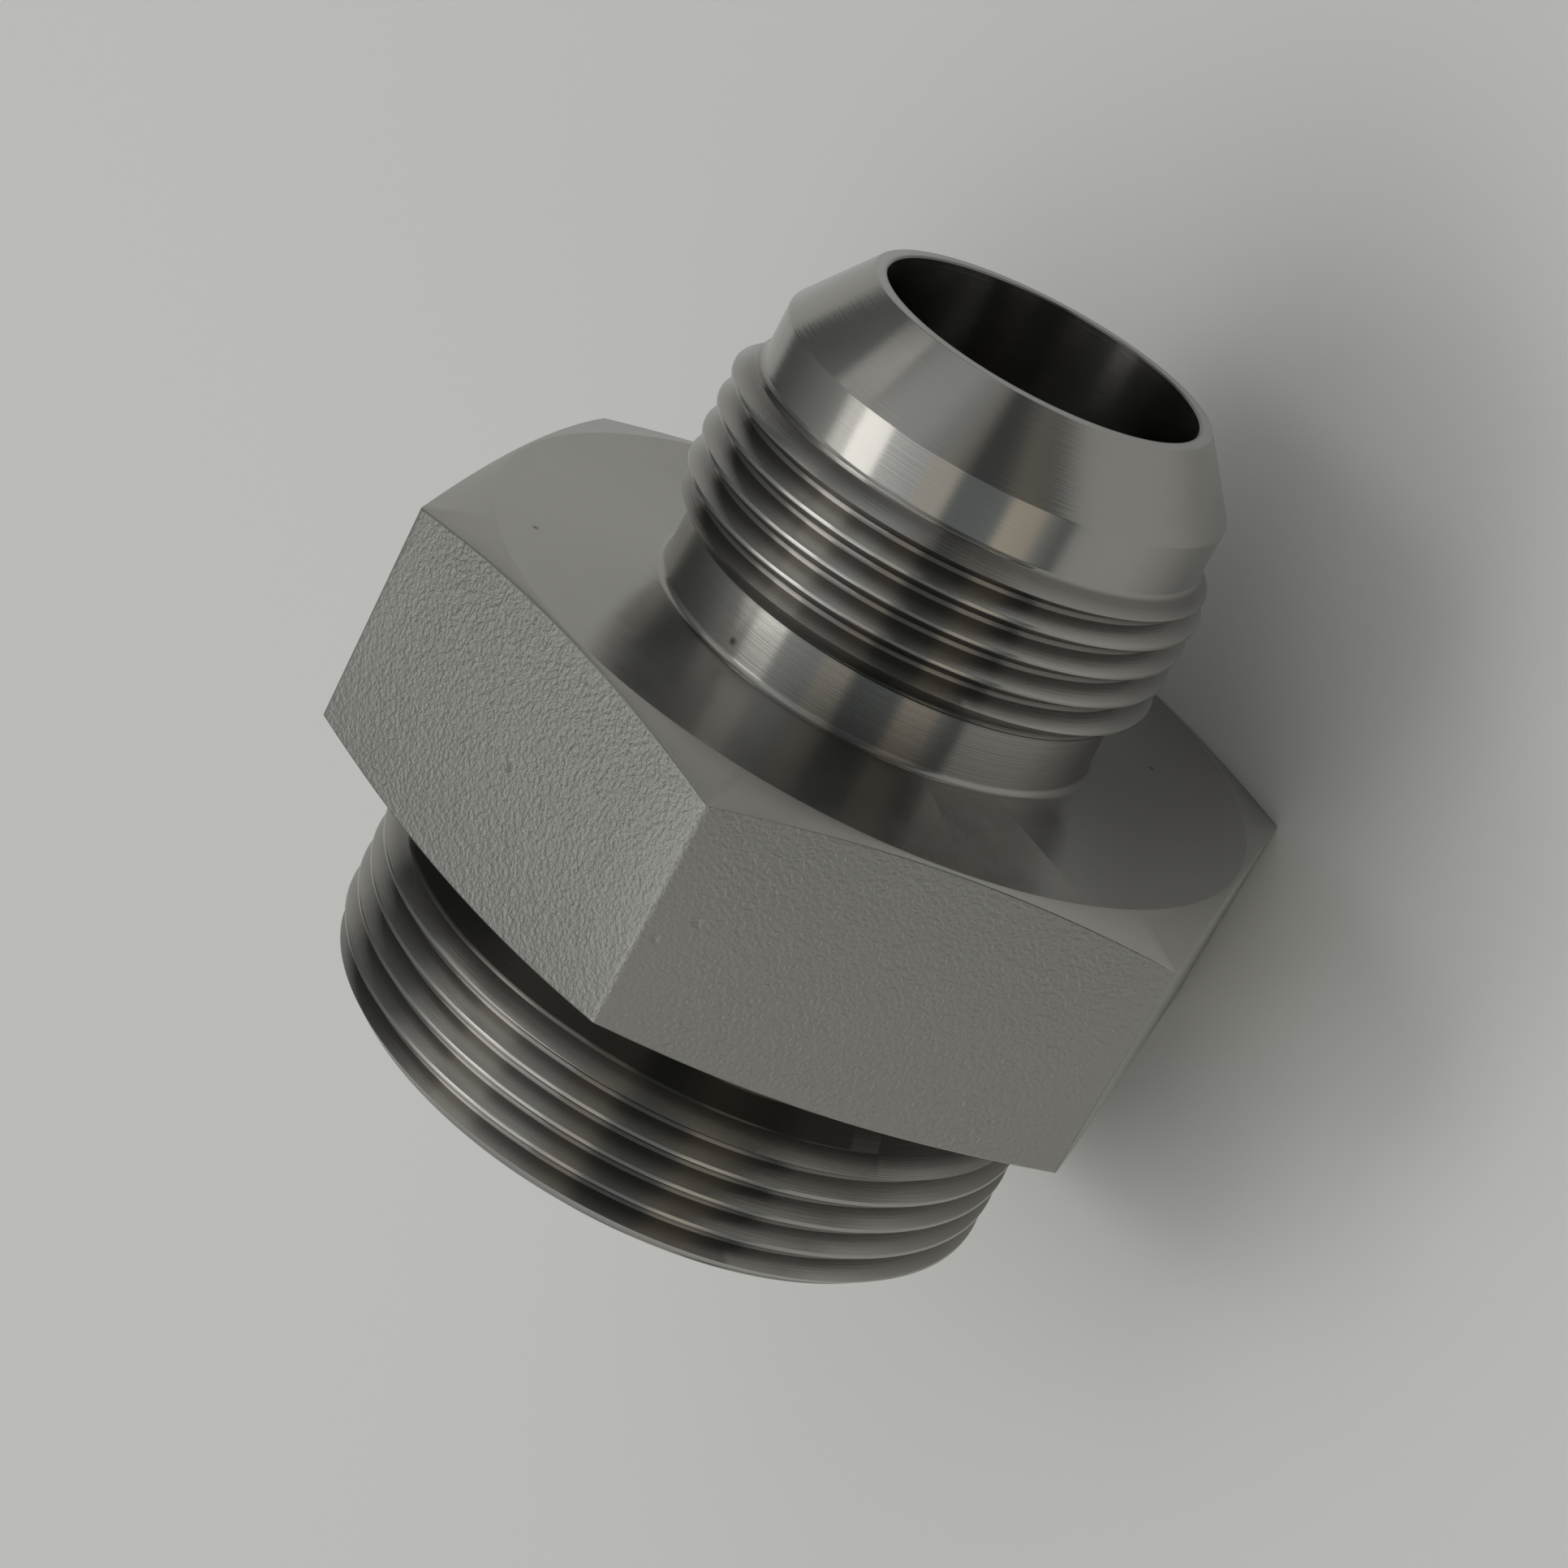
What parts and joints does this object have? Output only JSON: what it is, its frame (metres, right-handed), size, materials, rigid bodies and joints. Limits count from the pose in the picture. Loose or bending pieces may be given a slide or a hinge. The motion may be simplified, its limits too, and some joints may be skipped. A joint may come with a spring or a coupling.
{
  "type": "straight adapter fitting",
  "caption": "Straight hydraulic adapter turned from hexagon bar: 37 degree flared-tube nose end, hexagon body, larger straight-thread port end, bored right through.",
  "frame": {"origin": "on the fitting's axis, in the plane of the hexagon face that seats on the port", "axes": "+X along the axis from the port end to the flared-tube nose, +Z normal to the hexagon flat that faces up when the fitting lies on the opposite flat, +Y across two hexagon corners"},
  "size_m": [0.0561, 0.0622, 0.054],
  "materials": {
    "stainless_steel": "turned stainless steel, fine turning marks on the ends, dull grained hexagon flats"
  },
  "bodies": {
    "root": {"fitting_body": "stainless_steel"}
  },
  "joints": []
}
